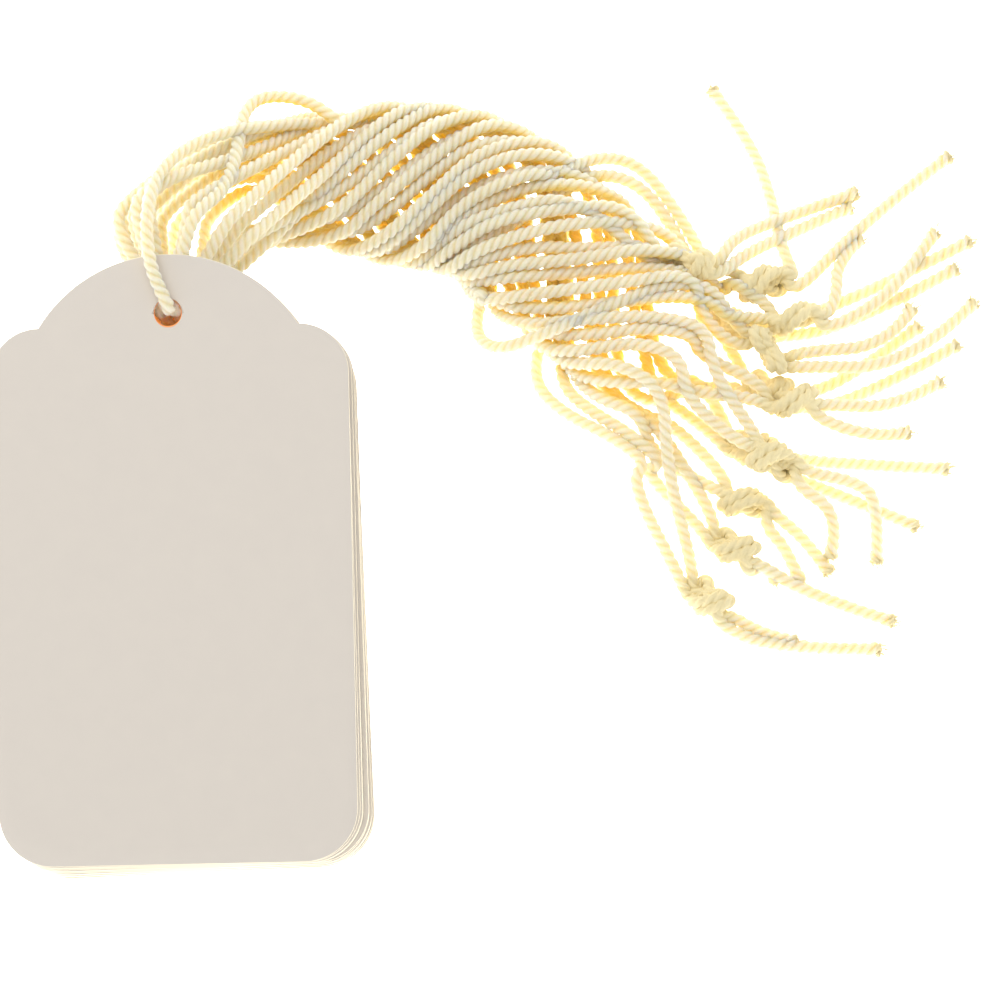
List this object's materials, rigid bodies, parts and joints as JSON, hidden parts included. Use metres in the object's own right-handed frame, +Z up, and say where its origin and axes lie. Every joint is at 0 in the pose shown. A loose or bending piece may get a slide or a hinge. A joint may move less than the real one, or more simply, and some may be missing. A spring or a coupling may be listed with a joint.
{
  "type": "gift tag",
  "caption": "Stack of blank card gift tags with arched tops, each punched and looped on its own knotted cotton string in a twisted hank.",
  "frame": {"origin": "centre of the tag stack's box, on the plane that the stack lies on", "axes": "+Z up from that plane, +Y towards the arched, punched ends of the tags, +X to the right across them"},
  "size_m": [0.1118, 0.0929, 0.0262],
  "materials": {
    "card": "matte uncoated cream card",
    "string": "twisted undyed cotton string"
  },
  "bodies": {
    "strings": {"string_01": "string", "knot_01": "string", "tails_01": "string", "string_02": "string", "knot_02": "string", "tails_02": "string", "string_03": "string", "knot_03": "string", "tails_03": "string", "string_04": "string", "knot_04": "string", "tails_04": "string", "string_05": "string", "knot_05": "string", "tails_05": "string", "string_06": "string", "knot_06": "string", "tails_06": "string", "string_07": "string", "knot_07": "string", "tails_07": "string", "string_08": "string", "knot_08": "string", "tails_08": "string", "string_09": "string", "knot_09": "string", "tails_09": "string", "string_10": "string", "knot_10": "string", "tails_10": "string", "string_11": "string", "knot_11": "string", "tails_11": "string", "string_12": "string", "knot_12": "string", "tails_12": "string"},
    "card_01": {"tag_01": "card"},
    "card_02": {"tag_02": "card"},
    "card_03": {"tag_03": "card"},
    "card_04": {"tag_04": "card"},
    "card_05": {"tag_05": "card"},
    "card_06": {"tag_06": "card"},
    "card_07": {"tag_07": "card"},
    "card_08": {"tag_08": "card"},
    "card_09": {"tag_09": "card"},
    "card_10": {"tag_10": "card"},
    "card_11": {"tag_11": "card"},
    "card_12": {"tag_12": "card"}
  },
  "joints": [
    {"name": "tag_01_turn", "type": "hinge", "parent": "strings", "child": "card_01", "pos_m": [-0.00118, 0.02779, 0.00164], "axis": [0, -0.0236, 0.9997], "range_deg": [-35, 20]},
    {"name": "tag_02_turn", "type": "hinge", "parent": "strings", "child": "card_02", "pos_m": [-0.00103, 0.02774, 0.00344], "axis": [0, -0.0454, 0.999], "range_deg": [-35, 20]},
    {"name": "tag_03_turn", "type": "hinge", "parent": "strings", "child": "card_03", "pos_m": [-0.00112, 0.02766, 0.00524], "axis": [0, -0.0673, 0.9977], "range_deg": [-35, 20]},
    {"name": "tag_04_turn", "type": "hinge", "parent": "strings", "child": "card_04", "pos_m": [-0.00097, 0.02755, 0.00703], "axis": [0, -0.0891, 0.996], "range_deg": [-35, 20]},
    {"name": "tag_05_turn", "type": "hinge", "parent": "strings", "child": "card_05", "pos_m": [-0.00122, 0.02741, 0.00883], "axis": [0, -0.1108, 0.9938], "range_deg": [-35, 20]},
    {"name": "tag_06_turn", "type": "hinge", "parent": "strings", "child": "card_06", "pos_m": [-0.00108, 0.02724, 0.01062], "axis": [0, -0.1325, 0.9912], "range_deg": [-35, 20]},
    {"name": "tag_07_turn", "type": "hinge", "parent": "strings", "child": "card_07", "pos_m": [-0.00133, 0.02704, 0.01241], "axis": [0, -0.1541, 0.988], "range_deg": [-35, 20]},
    {"name": "tag_08_turn", "type": "hinge", "parent": "strings", "child": "card_08", "pos_m": [-0.00118, 0.02681, 0.0142], "axis": [0, -0.1757, 0.9844], "range_deg": [-35, 20]},
    {"name": "tag_09_turn", "type": "hinge", "parent": "strings", "child": "card_09", "pos_m": [-0.00143, 0.02655, 0.01598], "axis": [0, -0.1972, 0.9804], "range_deg": [-35, 20]},
    {"name": "tag_10_turn", "type": "hinge", "parent": "strings", "child": "card_10", "pos_m": [-0.00128, 0.02625, 0.01776], "axis": [0, -0.2186, 0.9758], "range_deg": [-35, 20]},
    {"name": "tag_11_turn", "type": "hinge", "parent": "strings", "child": "card_11", "pos_m": [-0.00162, 0.02593, 0.01954], "axis": [0, -0.2399, 0.9708], "range_deg": [-35, 20]},
    {"name": "tag_12_turn", "type": "hinge", "parent": "strings", "child": "card_12", "pos_m": [-0.00153, 0.02558, 0.02131], "axis": [0, -0.261, 0.9653], "range_deg": [-35, 20]}
  ]
}
